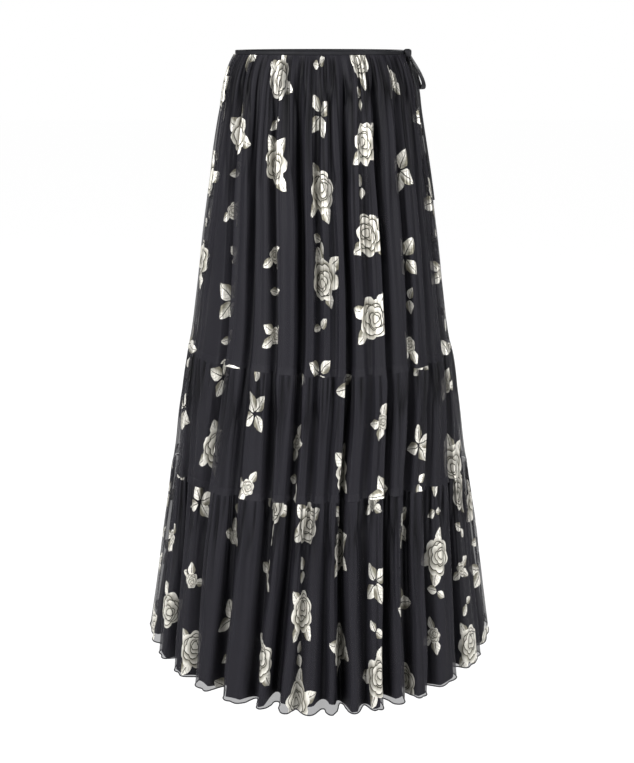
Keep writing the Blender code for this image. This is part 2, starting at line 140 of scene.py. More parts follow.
def plain_crepe(name, colour, roughness, scale, gloss=0.20):
    """Plain dark cloth with a fine crepe grain and slight unevenness of its dye."""
    material, n, shader = new_material(name)
    place = n.add("ShaderNodeTexCoord").outputs["Object"]
    dye = n.noise(place, DYE_SCALE)
    paler = tuple(c * PALER_DYE for c in colour[:3]) + (1.0,)
    n.feed(shader.inputs["Base Color"], n.mix(n.ramp(dye, 0.35, 0.70, 0.0, 1.0), colour, paler))
    n.feed(shader.inputs["Normal"], n.bump(n.noise(place, scale, 3.0), 0.5, GRAIN_HEIGHT))
    shader.inputs["Roughness"].default_value = roughness
    shader.inputs["Specular IOR Level"].default_value = gloss
    return material


def finish_piece(piece, nodes):
    """The piece stands for its CAD nodes and rides with the skirt."""
    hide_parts(*nodes)
    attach(piece, "root")


band_low, band_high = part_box("waistband")
BAND_HEIGHT = band_high[2] - band_low[2]
bpy.ops.mesh.primitive_cylinder_add(
    vertices=BAND_SIDES,
    radius=1.0,
    depth=BAND_HEIGHT,
    end_fill_type="NOTHING",
    location=(0.0, 0.0, band_high[2] - BAND_HEIGHT / 2),
)
band = bpy.context.object
band.name = "waistband_cloth"
band.scale = (band_high[0], band_high[1], 1.0)
bpy.ops.object.transform_apply(location=True, rotation=True, scale=True)
wall = band.modifiers.new("folded_double", "SOLIDIFY")
wall.thickness = BAND_WALL
wall.offset = -1.0
rounding = band.modifiers.new("soft_folds", "BEVEL")
rounding.width = BAND_ROUND
rounding.segments = 3
rounding.limit_method = "ANGLE"
for modifier in ("folded_double", "soft_folds"):
    bpy.ops.object.modifier_apply(modifier=modifier)
bpy.ops.object.shade_smooth()
band.data.materials.clear()
band.data.materials.append(plain_crepe("band_crepe", BAND_BLACK, BAND_ROUGHNESS, CREPE_SCALE))
finish_piece(band, ["waistband"])

# The georgette of the tiers.
# A sheer, near-black crepe with tossed roses, sprigs and buds woven in pale gold
# metallic thread. The motifs are turned every way, and where the cloth is gathered they
# close up with it.

# The pattern reads the flat cloth's metres from the UV map. Each cell of a grid whose
# columns drop against each other holds one motif, with a few fallen leaves between. Below
# the first share of the cells' chances it is a rose, above the second a bud, or a sprig.
CELL = (0.132, 0.120)
COLUMN_DROP = 0.37
CELL_SHIFT = 0.020
ROSE_SHARE = 0.37
BUD_START = 0.70
ROSE_RADIUS = 0.0305
BUD_RADIUS = 0.0125
WOBBLE = 0.0040
WOBBLE_SCALE = 85.0
GOLD_LIGHT = (0.95, 0.925, 0.85, 1.0)
GOLD_SHADE = (0.13, 0.118, 0.075, 1.0)
OUTLINE_BROWN = (0.030, 0.027, 0.020, 1.0)
GROUND_BLACK = (0.0245, 0.0236, 0.0300, 1.0)
PAINTED_FOLD_SHADE_COLOUR = (0.0015, 0.0015, 0.0020, 1.0)
GROUND_COVER = 0.60
MOTIF_COVER = 0.97
ALLOWANCE_COVER = (0.40, 0.55)
CLOTH_ROUGHNESS = 0.55
CLOTH_GLOSS = 0.15
CREPE_THREADS = (1900.0, 1500.0, 1.0)
GOLD_THREADS = (1400.0, 230.0, 1.0)
GOLD_METAL = 0.5
GOLD_SMOOTHER = -0.17
GOLD_RAISED = 0.8
TARNISH = 0.55
# Each ring of petals: its size, how far its middle sits from the flower's, its petals,
# their turn and how deep the notches between them are
PETAL_RINGS = (
    (1.00, 0.00, 0.00, 7, 0.2, 0.15),
    (0.79, 0.05, 0.05, 6, 0.9, 0.17),
    (0.59, -0.06, 0.11, 5, 0.3, 0.19),
    (0.41, 0.05, 0.17, 4, 1.1, 0.21),
    (0.23, -0.01, 0.21, 3, 0.5, 0.22),
)
PETAL_LINE = 0.025
PETAL_SHADE_REACH = 0.28
HEART_SHADE = 0.35
# A leaf for a half length of 1: its half width and how that tapers, its veins' slant,
# number and thickness, and its midrib's half thickness
LEAF_HALF_WIDTH = 0.66
LEAF_TAPER = -0.22
VEIN_SLANT = -0.9
VEINS = 2.4
VEIN_LINE = 0.12
VEIN_TONE = 0.55
RIB_HALF = 0.045
# The leaves round each motif's middle: the way they point in degrees and their size
LEAVES = ((-38.0, 1.0), (-104.0, 0.92), (148.0, 0.84), (58.0, 0.96))
LEAF_MIDDLES = {"rose": 0.0320, "sprig": 0.0185, "bud": 0.0185}
LEAF_HALVES = {"rose": 0.0160, "sprig": 0.0165, "bud": 0.0120}
FALLEN_LEAVES = ((20.0, 0.0105), (165.0, 0.0090))
FALLEN_SHARE = 0.35


def group_tree(name):
    """An empty node group that reads a place and gives fill, line and shade."""
    tree = bpy.data.node_groups.new(name, "ShaderNodeTree")
    tree.interface.new_socket("Place", in_out="INPUT", socket_type="NodeSocketVector")
    for label in ("Fill", "Line", "Shade"):
        tree.interface.new_socket(label, in_out="OUTPUT", socket_type="NodeSocketFloat")
    return tree, tree.nodes.new("NodeGroupInput").outputs["Place"], tree.nodes.new("NodeGroupOutput")


def rose_group():
    """A full-blown rose of radius 1: rings of notched petals, each shading the next."""
    tree, given, result = group_tree("rose")
    n = Nodes(tree)
    edges = []
    for size, over, up, petals, turned, notch in PETAL_RINGS:
        place = n.vector("SUBTRACT", given, (over, up, 0.0))
        flat = n.parts(place)
        around = n.math("ARCTAN2", flat["Y"], flat["X"])
        lobe = n.math("ABSOLUTE", n.math("COSINE", n.math("MULTIPLY_ADD", around, petals / 2, turned)))
        reach = n.math("MULTIPLY_ADD", lobe, notch * size, (1 - notch) * size)
        edges.append(n.math("SUBTRACT", n.vector("LENGTH", place), reach))
    lines = [n.math("COMPARE", edge, 0.0, PETAL_LINE) for edge in edges[1:]]
    below = n.ramp(n.parts(given)["Y"], -0.7, 0.9, 1.0, 0.45)
    shades = []
    for edge in edges[1:]:
        root = n.ramp(edge, 0.0, PETAL_SHADE_REACH, 1.0, 0.0)
        shades.append(n.math("MULTIPLY", root, n.math("GREATER_THAN", edge, 0.0)))
    shade = n.math("MULTIPLY", n.greatest(shades), below)
    heart = n.math("MULTIPLY", n.math("LESS_THAN", edges[-1], 0.0), HEART_SHADE)
    n.feed(result.inputs["Fill"], n.math("LESS_THAN", edges[0], 0.0))
    n.feed(result.inputs["Line"], n.greatest(lines))
    n.feed(result.inputs["Shade"], n.math("MAXIMUM", shade, heart))
    return tree


def leaf_group():
    """A pointed leaf along X from -1 to 1, with a midrib, veins and a darker half."""
    tree, given, result = group_tree("leaf")
    n = Nodes(tree)
    flat = n.parts(given)
    along, across = flat["X"], flat["Y"]
    bow = n.math("MAXIMUM", n.math("SUBTRACT", 1.0, n.math("MULTIPLY", along, along)), 0.0)
    half = n.math("MULTIPLY", bow, n.math("MULTIPLY_ADD", along, LEAF_TAPER, LEAF_HALF_WIDTH))
    distance = n.math("ABSOLUTE", across)
    slant = n.math("MULTIPLY_ADD", distance, VEIN_SLANT, along)
    vein = n.math("LESS_THAN", n.math("FRACT", n.math("MULTIPLY", slant, VEINS)), VEIN_LINE)
    rib = n.math("LESS_THAN", distance, n.math("MULTIPLY_ADD", along, -0.02, RIB_HALF))
    n.feed(result.inputs["Fill"], n.math("LESS_THAN", distance, half))
    n.feed(result.inputs["Line"], n.math("MAXIMUM", rib, n.math("MULTIPLY", vein, VEIN_TONE)))
    n.feed(result.inputs["Shade"], n.ramp(across, -0.40, 0.02, 0.9, 0.0))
    return tree


def drawn(n, tree, place, unit):
    """One flower or leaf of the given size: its fill, line and shade."""
    made = n.add("ShaderNodeGroup")
    made.node_tree = tree
    n.feed(made.inputs["Place"], n.vector("MULTIPLY", place, n.joined(unit, unit)))
    fill = made.outputs["Fill"]
    return [fill] + [n.math("MULTIPLY", made.outputs[part], fill) for part in ("Line", "Shade")]


def by_kind(n, flags, values):
    """A value for each kind of motif, picked by the cell's kind."""
    rose, sprig, bud = flags
    picked = n.math("MULTIPLY_ADD", rose, values["rose"], n.math("MULTIPLY", sprig, values["sprig"]))
    return n.math("MULTIPLY_ADD", bud, values["bud"], picked)


def georgette(name, patterned):
    """Sheer black crepe; the woven motifs are nearly opaque and metallic."""
    material, n, shader = new_material(name)
    cloth = n.add("ShaderNodeUVMap", uv_map="cloth").outputs["UV"]
    crepe = n.noise(n.vector("MULTIPLY", cloth, CREPE_THREADS), 1.0, 3.0)
    shader.inputs["Specular IOR Level"].default_value = CLOTH_GLOSS
    if not patterned:
        # Painted shade: the allowance is the same crepe as the ground, painted half as dark so the seam shows
        # a shadow line under its ledge
        shader.inputs["Base Color"].default_value = [c * 0.5 for c in GROUND_BLACK[:3]] + [1.0]
        shader.inputs["Roughness"].default_value = CLOTH_ROUGHNESS
        n.feed(shader.inputs["Alpha"], n.ramp(crepe, 0.3, 0.7, *ALLOWANCE_COVER))
        n.feed(shader.inputs["Normal"], n.bump(crepe, 0.4, GRAIN_HEIGHT))
        return material
    rose_tree, leaf_tree = rose_group(), leaf_group()
    waver = {"Vector": cloth, "Scale": WOBBLE_SCALE, "Detail": 2.0}
    wobble = n.add("ShaderNodeTexNoise", waver).outputs["Color"]
    wobble = n.vector("MULTIPLY", n.vector("SUBTRACT", wobble, (0.5, 0.5, 0.5)), (WOBBLE, WOBBLE, 0.0))
    grid = n.parts(n.vector("DIVIDE", n.vector("ADD", cloth, wobble), (*CELL, 1.0)))
    strip = n.math("FLOOR", grid["X"])
    dropped = n.math("MULTIPLY_ADD", strip, COLUMN_DROP, grid["Y"])
    inside_x = n.math("MULTIPLY", n.math("SUBTRACT", n.math("FRACT", grid["X"]), 0.5), CELL[0])
    inside_y = n.math("MULTIPLY", n.math("SUBTRACT", n.math("FRACT", dropped), 0.5), CELL[1])
    inside = n.joined(inside_x, inside_y)
    chance = n.add("ShaderNodeTexWhiteNoise", {"Vector": n.joined(strip, n.math("FLOOR", dropped))})
    shift = n.vector("MULTIPLY", n.vector("SUBTRACT", chance.outputs["Color"], (0.5, 0.5, 0.5)),
                     (CELL_SHIFT, CELL_SHIFT, 0.0))
    turned = n.math("MULTIPLY", n.parts(chance.outputs["Color"])["Z"], 2 * pi)
    place = n.turn(n.vector("ADD", inside, shift), turned)
    is_rose = n.math("LESS_THAN", chance.outputs["Value"], ROSE_SHARE)
    is_bud = n.math("GREATER_THAN", chance.outputs["Value"], BUD_START)
    is_sprig = n.math("SUBTRACT", n.math("SUBTRACT", 1.0, is_rose), is_bud)
    flags = (is_rose, is_sprig, is_bud)
    # The flower's head lies over its leaves, and a sprig has none
    head_unit = by_kind(n, flags, {"rose": 1 / ROSE_RADIUS, "sprig": 1 / BUD_RADIUS, "bud": 1 / BUD_RADIUS})
    head = drawn(n, rose_tree, place, head_unit)
    has_head = n.math("SUBTRACT", 1.0, is_sprig)
    head = [n.math("MULTIPLY", value, has_head) for value in head]
    reach = by_kind(n, flags, LEAF_MIDDLES)
    leaf_unit = by_kind(n, flags, {kind: 1 / half for kind, half in LEAF_HALVES.items()})
    leaves = []
    for index, (degrees, size) in enumerate(LEAVES):
        at = n.turn(place, -radians(degrees))
        at = n.vector("SUBTRACT", at, n.joined(reach, 0.0))
        leaf = drawn(n, leaf_tree, at, n.math("DIVIDE", leaf_unit, size))
        if index == len(LEAVES) - 1:
            leaf = [n.math("MULTIPLY", value, is_sprig) for value in leaf]
        leaves.append(leaf)
    # A few small fallen leaves between one motif and the next below it
    between = n.math("ADD", dropped, 0.5)
    between_y = n.math("MULTIPLY", n.math("SUBTRACT", n.math("FRACT", between), 0.5), CELL[1])
    gap = n.joined(n.math("ADD", strip, 0.5), n.math("FLOOR", between))
    luck = n.add("ShaderNodeTexWhiteNoise", {"Vector": gap})
    present = n.math("LESS_THAN", luck.outputs["Value"], FALLEN_SHARE)
    turned = n.math("MULTIPLY", n.parts(luck.outputs["Color"])["Z"], 2 * pi)
    fallen = n.turn(n.joined(inside_x, between_y), turned)
    for degrees, half in FALLEN_LEAVES:
        at = n.vector("SUBTRACT", n.turn(fallen, -radians(degrees)), (half * 1.1, 0.0, 0.0))
        leaf = drawn(n, leaf_tree, at, 1 / half)
        leaves.append([n.math("MULTIPLY", value, present) for value in leaf])
    leaf_parts = [n.greatest([leaf[part] for leaf in leaves]) for part in range(3)]
    uncovered = n.math("SUBTRACT", 1.0, head[0])
    fill = n.math("MAXIMUM", head[0], leaf_parts[0])
    line, shade = [n.math("MULTIPLY_ADD", leaf_parts[part], uncovered, head[part]) for part in (1, 2)]
    thread = n.noise(n.vector("MULTIPLY", cloth, GOLD_THREADS), 1.0)
    tarnish = n.ramp(thread, 0.46, 0.74, 0.0, TARNISH)
    shaded = n.math("MAXIMUM", n.math("MULTIPLY", shade, 0.98), tarnish)
    gold = n.mix(line, n.mix(shaded, GOLD_LIGHT, GOLD_SHADE), OUTLINE_BROWN)
    # Painted shade: in the small gathers' creases and the main folds' hollows the colour is darkened to near
    # black, the gold thread's with it, and the thread loses its metal there
    gathered = n.add("ShaderNodeAttribute", attribute_name="gathered").outputs["Fac"]
    painted_shade_share = n.ramp(gathered, 0.2, 1.0, 0.0, 0.9)
    n.feed(shader.inputs["Base Color"], n.mix(painted_shade_share, n.mix(fill, GROUND_BLACK, gold), PAINTED_FOLD_SHADE_COLOUR))
    plain_gold = n.math("MULTIPLY", fill, n.math("SUBTRACT", 1.0, n.math("MAXIMUM", line, painted_shade_share)))
    n.feed(shader.inputs["Metallic"], n.math("MULTIPLY", plain_gold, GOLD_METAL))
    n.feed(shader.inputs["Roughness"], n.math("MULTIPLY_ADD", fill, GOLD_SMOOTHER, CLOTH_ROUGHNESS))
    n.feed(shader.inputs["Alpha"], n.math("MULTIPLY_ADD", fill, MOTIF_COVER - GROUND_COVER, GROUND_COVER))
    raised = n.math("MULTIPLY_ADD", fill, GOLD_RAISED, crepe)
    n.feed(shader.inputs["Normal"], n.bump(raised, 0.4, GRAIN_HEIGHT))
    return material


PATTERNED = georgette("georgette_with_gold_flowers", True)
PLAIN_GEORGETTE = georgette("plain_georgette", False)

# The three tiers, each a front and a back panel.
# Long lengths of the georgette, each gathered by hand along its top edge: the first into
# the waistband, the others into the tier above, and all joined in the side seams. The
# gathers are tight at the top and fall together into broad soft folds.
# The sizes are those of the construction: drops are metres down from the waist.
EDGE_DROP = BAND_HEIGHT
SEAM_ONE = 0.441
SEAM_TWO = 0.623
HEM_SIDE = 0.902
HEM_FRONT_DIP = 0.018
TIER_MIDDLES = ((EDGE_DROP + SEAM_ONE) / 2, (SEAM_ONE + SEAM_TWO) / 2, (SEAM_TWO + HEM_SIDE) / 2)
SEAM_SWAYS = ((0.0022, 2, 0.8), (0.0010, 3, 0.0))
OUTLINE = (
    ("drop", "half_width", "half_depth"),
    (0.000, 0.1215, 0.0895),
    (0.020, 0.1318, 0.0985),
    (0.042, 0.1395, 0.1070),
    (0.088, 0.1470, 0.1160),
    (0.157, 0.1588, 0.1275),
    (0.252, 0.1730, 0.1420),
    (0.350, 0.1867, 0.1570),
    (0.425, 0.1979, 0.1690),
    (0.460, 0.2055, 0.1750),
    (0.530, 0.2168, 0.1850),
    (0.606, 0.2273, 0.1970),
    (0.640, 0.2335, 0.2040),
    (0.713, 0.2457, 0.2215),
    (0.824, 0.2623, 0.2475),
    (0.920, 0.2765, 0.2700),
)
# Where each fold crosses the waist, the two seams and the hem, in degrees from the
# middle of the front, its depth in millimetres in each tier, and how it leans
FOLD_LEVELS = (0.0, SEAM_ONE, SEAM_TWO, 0.920)
Fold = namedtuple("Fold", "waist seam_one seam_two hem depth_1 depth_2 depth_3 lean")
FRONT_FOLDS = (
    Fold(-82.0, -82.0, -77.0, -70.0, 9, 14, 22, 0.2),
    Fold(-69.0, -69.0, -63.0, -58.0, 9, 13, 28, -0.3),
    Fold(-56.0, -45.5, -48.0, -46.0, 18, 20, 20, 0.3),
    Fold(-40.0, -32.0, -33.0, -34.5, 18, 14, 28, -0.2),
    Fold(-28.5, -20.0, -19.5, -22.2, 18, 22, 26, 0.2),
    Fold(-12.5, -8.5, -10.6, -15.0, 25, 22, 28, 0.1),
    Fold(-2.5, -0.7, -3.5, -7.2, 15, 13, 16, -0.3),
    Fold(5.0, 5.6, 2.4, 0.6, 9, 9, 18, 0.2),
    Fold(11.5, 12.2, 8.0, 7.2, 24, 28, 32, -0.1),
    Fold(20.0, 20.5, 16.0, 14.0, 11, 12, 20, 0.3),
    Fold(31.0, 30.5, 26.0, 21.6, 22, 20, 28, -0.3),
    Fold(46.0, 42.0, 33.5, 29.0, 18, 20, 26, 0.2),
    Fold(60.0, 54.0, 45.0, 38.0, 13, 14, 22, -0.2),
    Fold(73.0, 68.0, 59.0, 51.5, 11, 15, 26, 0.3),
    Fold(84.5, 81.0, 75.0, 69.0, 8, 13, 22, -0.2),
)
BACK_FOLDS = (
    Fold(98.0, 98.0, 97.0, 97.0, 9, 15, 24, 0.2),
    Fold(110.0, 109.5, 111.0, 109.0, 12, 16, 26, -0.3),
    Fold(123.5, 121.0, 120.0, 121.5, 18, 21, 28, 0.2),
    Fold(136.0, 135.0, 134.0, 134.0, 13, 14, 20, -0.1),
    Fold(148.0, 148.5, 149.0, 146.0, 22, 20, 28, 0.3),
    Fold(160.0, 160.0, 161.0, 158.5, 17, 24, 24, -0.2),
    Fold(170.5, 169.5, 171.5, 170.5, 21, 15, 30, 0.1),
    Fold(182.0, 182.0, 181.5, 183.0, 15, 20, 22, 0.3),
    Fold(194.0, 193.0, 194.5, 195.0, 24, 23, 28, -0.3),
    Fold(206.0, 207.0, 206.0, 207.0, 15, 14, 24, 0.2),
    Fold(219.5, 219.0, 220.0, 219.0, 20, 21, 28, -0.2),
    Fold(232.5, 233.0, 231.5, 232.0, 15, 18, 22, 0.1),
    Fold(246.0, 247.0, 245.0, 246.0, 12, 17, 26, -0.3),
    Fold(258.5, 259.0, 260.0, 260.5, 8, 14, 22, 0.2),
)
LEFT_SEAM = (-91.5, -91.5, -88.5, -85.0)
RIGHT_SEAM = (91.5, 89.5, 86.5, 83.5)
SIDES = {
    "front": (FRONT_FOLDS, LEFT_SEAM, RIGHT_SEAM),
    "back": (BACK_FOLDS, RIGHT_SEAM, tuple(angle + 360 for angle in LEFT_SEAM)),
}
TROUGHS = (
    ("drop", "gather", "share_1", "share_2", "share_3", "half_mouth"),
    (0.000, 0.0016, 0.00, 0.00, 0.00, 0.0032),
    (0.020, 0.0010, 0.22, 0.00, 0.00, 0.0036),
    (0.050, 0.0000, 0.50, 0.00, 0.00, 0.0048),
    (0.140, 0.0000, 0.88, 0.00, 0.00, 0.0070),
    (0.300, 0.0000, 1.00, 0.00, 0.00, 0.0085),
    (0.441, 0.0000, 0.70, 0.05, 0.00, 0.0088),
    (0.500, 0.0000, 0.15, 0.82, 0.00, 0.0096),
    (0.570, 0.0000, 0.00, 1.00, 0.00, 0.0104),
    (0.623, 0.0000, 0.00, 0.72, 0.08, 0.0108),
    (0.690, 0.0000, 0.00, 0.12, 0.78, 0.0114),
    (0.800, 0.0000, 0.00, 0.00, 1.00, 0.0125),
    (0.925, 0.0000, 0.00, 0.00, 1.12, 0.0140),
)
BOTTOM_SHARE = 0.40
MOUTH_LIMIT = 0.27
# The small gathers between the folds: how much hung width each takes in each tier, and
# their depth at a share of the way down it
TIER_PITCH = (0.0160, 0.0215, 0.0240)
TIER_GATHERS = (
    ((0.0, 0.0015), (0.05, 0.0045), (0.25, 0.0048), (0.65, 0.0030), (1.0, 0.0)),
    ((0.0, 0.0), (0.16, 0.0065), (0.55, 0.0060), (0.85, 0.0035), (1.0, 0.0)),
    ((0.0, 0.0), (0.11, 0.0070), (0.40, 0.0068), (0.70, 0.0052), (1.0, 0.0040)),
)
GATHER_STRENGTHS = (1.0, 0.62, 0.86, 0.45, 0.75)
GATHER_SHIFTS = (0.05, -0.07, 0.02, 0.08, -0.04)
GATHER_MOUTH = 0.20
GATHER_DEPTH_LIMIT = 0.42
MOST_GATHERS = 3
FLAT_SHARE = 0.35
NOISE_CELLS = 257
# The cloth spreads evenly into the waistband, and finds its folds this far down
SETTLE_DROP = 0.250


def column(table, name):
    """One named column of a table as an array."""
    place = table[0].index(name)
    return np.array([row[place] for row in table[1:]], dtype=float)


def smooth(x, knots, values):
    """A smooth curve through a table's rows, read at x."""
    knots = np.asarray(knots, dtype=float)
    values = np.asarray(values, dtype=float)
    slopes = np.gradient(values, knots)
    x = np.clip(x, knots[0], knots[-1])
    i = np.clip(np.searchsorted(knots, x) - 1, 0, len(knots) - 2)
    step = knots[i + 1] - knots[i]
    t = (x - knots[i]) / step
    start = (1 + 2 * t) * (1 - t) ** 2 * values[i] + t * (1 - t) ** 2 * step * slopes[i]
    return start + t * t * (3 - 2 * t) * values[i + 1] + t * t * (t - 1) * step * slopes[i + 1]


def outline(drop):
    """Half width and half depth that the ridges reach at a drop."""
    drops = column(OUTLINE, "drop")
    half_width = smooth(drop, drops, column(OUTLINE, "half_width"))
    half_depth = smooth(drop, drops, column(OUTLINE, "half_depth"))
    return half_width, half_depth


def plan_point(angle, half_width, half_depth, inset):
    """Plan position on the outline at an angle in radians, moved in along its normal."""
    out_x = np.sin(angle) / half_width
    out_y = -np.cos(angle) / half_depth
    length = np.hypot(out_x, out_y)
    x = half_width * np.sin(angle) - inset * out_x / length
    y = -half_depth * np.cos(angle) - inset * out_y / length
    return x, y


def arc_rate(angle, half_width, half_depth):
    """Metres round the outline for each radian of angle."""
    return np.hypot(half_width * np.cos(angle), half_depth * np.sin(angle))


def line_angle(levels, drop):
    """Where a fold or a side seam lies at a drop, in radians."""
    return np.radians(smooth(drop, FOLD_LEVELS, levels))


def trough(fold, drop):
    """Depth and half mouth of a main fold at a drop."""
    drops = column(TROUGHS, "drop")
    depth = np.interp(drop, drops, column(TROUGHS, "gather"))
    own_depths = {"share_1": fold.depth_1, "share_2": fold.depth_2, "share_3": fold.depth_3}
    for share, millimetres in own_depths.items():
        depth = depth + np.interp(drop, drops, column(TROUGHS, share)) * millimetres / 1000
    return depth, np.interp(drop, drops, column(TROUGHS, "half_mouth"))


def tier_edges(tier, angle):
    """Drops of a tier's top and bottom edges at an angle."""
    sway = sum(height * np.sin(waves * angle + start) for height, waves, start in SEAM_SWAYS)
    seam_one = SEAM_ONE + sway
    seam_two = SEAM_TWO - sway
    hem = HEM_SIDE + HEM_FRONT_DIP * np.cos(angle) ** 2
    return (EDGE_DROP + 0 * angle, seam_one, seam_two)[tier], (seam_one, seam_two, hem)[tier]


def gathers_in_gap(start, end, tier):
    """How many small gathers a ridge takes between two neighbouring lines."""
    half_width, half_depth = outline(TIER_MIDDLES[tier])
    first = line_angle(start, TIER_MIDDLES[tier])
    last = line_angle(end, TIER_MIDDLES[tier])
    width = (last - first) * arc_rate((first + last) / 2, half_width, half_depth)
    return int(min(MOST_GATHERS, max(0, round(float(width) / TIER_PITCH[tier]) - 1)))


def line_places(lines, tier, shares):
    """Angles and drops of the folds and side seams, for rows at shares of a tier."""
    angles = np.zeros((len(lines), len(shares)))
    for _ in range(3):
        top, bottom = tier_edges(tier, angles)
        drops = top + (bottom - top) * shares
        angles = np.array([line_angle(line, drop) for line, drop in zip(lines, drops)])
    return angles, drops


def gap_between(angles, drops, k):
    """Metres round the outline for each radian, and the gap, between two neighbours."""
    half_width, half_depth = outline((drops[k] + drops[k + 1]) / 2)
    rate = arc_rate((angles[k] + angles[k + 1]) / 2, half_width, half_depth)
    return rate, (angles[k + 1] - angles[k]) * rate


def tier_columns(side, tier, shares):
    """Angles and insets of a panel's folds, row by row. A shoulder that counts twice stays crisp."""
    folds, start_seam, end_seam = SIDES[side]
    lines = [start_seam] + [fold[:4] for fold in folds] + [end_seam]
    angles, drops = line_places(lines, tier, shares)
    level = np.zeros_like(shares)
    columns = [(angles[0], level)]
    strength = tier * 2
    crisp = 2 if tier < 2 else 1
    depths = np.interp(shares, *zip(*TIER_GATHERS[tier]))
    for k in range(len(lines) - 1):
        rate, gap = gap_between(angles, drops, k)
        if k > 0:
            fold = folds[k - 1]
            depth, mouth = trough(fold, drops[k])
            mouth = np.minimum(mouth, MOUTH_LIMIT * gap) / rate
            shoulder = (angles[k] + mouth, level)
            columns += [(angles[k] + (BOTTOM_SHARE + fold.lean) * mouth, depth)] + [shoulder] * crisp
        next_side = []
        if k < len(folds):
            fold = folds[k]
            depth, mouth = trough(fold, drops[k + 1])
            mouth = np.minimum(mouth, MOUTH_LIMIT * gap) / rate
            shoulder = (angles[k + 1] - mouth, level)
            next_side = [shoulder] * crisp + [(angles[k + 1] + (fold.lean - BOTTOM_SHARE) * mouth, depth)]
        free_start = columns[-1][0]
        room = (next_side + [(angles[-1], level)])[0][0] - free_start
        count = gathers_in_gap(lines[k], lines[k + 1], tier)
        for index in range(count):
            strength += 1
            each = room * rate / (count + FLAT_SHARE)
            centre = free_start + room * (index + 0.5 + GATHER_SHIFTS[strength % 5]) / count
            depth = np.minimum(depths * GATHER_STRENGTHS[strength % 5], GATHER_DEPTH_LIMIT * each)
            mouth = GATHER_MOUTH * each / rate
            columns += [(centre - mouth, level), (centre, depth), (centre + mouth, level)]
        columns += next_side
    columns.append((angles[-1], level))
    return np.array([c[0] for c in columns]), np.array([c[1] for c in columns])


def read_spline(values, steps):
    """Reads a soft curve at fractional steps along control values, from end to end of them."""
    base = np.clip(np.floor(steps).astype(int), 0, len(values) - 2)
    t = (steps - base).reshape(-1, *[1] * (values.ndim - 1))
    values = np.concatenate([2 * values[:1] - values[1:2], values, 2 * values[-1:] - values[-2:-1]])
    weights = ((1 - t) ** 3, 3 * t ** 3 - 6 * t ** 2 + 4, -3 * t ** 3 + 3 * t ** 2 + 3 * t + 1, t ** 3)
    return sum(weight / 6 * values[base + place] for place, weight in enumerate(weights))


def even_steps(xy, count):
    """Steps along a row of control points, evenly spaced on the soft cloth."""
    fine = np.linspace(0, len(xy) - 1, len(xy) * 12)
    curve = read_spline(xy, fine)
    length = np.concatenate([[0], np.cumsum(np.hypot(*np.diff(curve, axis=0).T))])
    return np.interp(np.linspace(0, length[-1], count), length, fine)


def even_angles(first, last, drop, shares):
    """Angles that share the outline's arc evenly at one drop."""
    fine = np.linspace(first, last, 400)
    arc = np.concatenate([[0], np.cumsum(arc_rate((fine[1:] + fine[:-1]) / 2, *outline(drop)))])
    return np.interp(shares * arc[-1], arc, fine)


def soft_noise(across, down, cell_across, cell_down, seed):
    """Smooth random values from -1 to 1 with cells of a given size."""
    grid = np.random.RandomState(seed).uniform(-1, 1, (NOISE_CELLS, NOISE_CELLS))
    a = across / cell_across
    d = down / cell_down
    i, j = np.floor(a).astype(int), np.floor(d).astype(int)
    a, d = a - i, d - j
    a, d = a * a * (3 - 2 * a), d * d * (3 - 2 * d)
    corners = ((0, 0), (1, 0), (0, 1), (1, 1))
    at = [grid[(i + p) % NOISE_CELLS, (j + q) % NOISE_CELLS] for p, q in corners]
    return (at[0] * (1 - a) + at[1] * a) * (1 - d) + (at[2] * (1 - a) + at[3] * a) * d


def push_out(points, amount):
    """Moves a grid of points along its outward normals."""
    across = np.gradient(points, axis=1)
    down = np.gradient(points, axis=0)
    normal = np.cross(down, across)
    normal /= np.maximum(np.linalg.norm(normal, axis=2, keepdims=True), 1e-9)
    return points + normal * np.asarray(amount)[..., None]


def cloth_sheet(name, points, flat, material, gathered=None):
    """A sheet of cloth through a grid of points, with its flat metres as its UV map."""
    rows, columns = points.shape[:2]
    index = np.arange(rows * columns).reshape(rows, columns)
    quads = np.stack([index[:-1, :-1], index[1:, :-1], index[1:, 1:], index[:-1, 1:]], axis=-1).reshape(-1, 4)
    mesh = bpy.data.meshes.new(name)
    mesh.from_pydata(points.reshape(-1, 3).tolist(), [], quads.tolist())
    layer = mesh.uv_layers.new(name="cloth")
    layer.data.foreach_set("uv", flat.reshape(-1, 2)[quads.reshape(-1)].astype(np.float32).ravel())
    # The painted crease and fold shade rides on the mesh as a point attribute
    if gathered is not None:
        painted_shade_layer = mesh.attributes.new("gathered", "FLOAT", "POINT")
        painted_shade_layer.data.foreach_set("value", gathered.astype(np.float32).ravel())
    mesh.materials.append(material)
    mesh.shade_smooth()
    piece = bpy.data.objects.new(name, mesh)
    bpy.context.scene.collection.objects.link(piece)
    return piece


# Each tier: the flat width and length of one panel, its mesh, its fine gathers (cell
# across the cloth, depth, how far they take to start and to run out) and where it was cut
PUCKERS = "pucker_cell pucker_depth pucker_start pucker_run"
Tier = namedtuple("Tier", f"name width length rows columns {PUCKERS} cut_x cut_y")
TIERS = (
    Tier("tier_1", 0.87, 0.440, 170, 430, 0.0105, 0.0060, 0.010, 0.120, 0.031, 0.0),
    Tier("tier_2", 1.12, 0.185, 88, 540, 0.0085, 0.0062, 0.004, 0.056, 0.379, 0.613),
    Tier("tier_3", 1.52, 0.300, 116, 690, 0.0082, 0.0066, 0.004, 0.068, 3.342, 2.127),
)
BACK_CUT = 2.14
# The row that the columns are spaced evenly along, as a share of the way down
REFERENCE_ROW = 0.75
PUCKER_LENGTH = 0.11
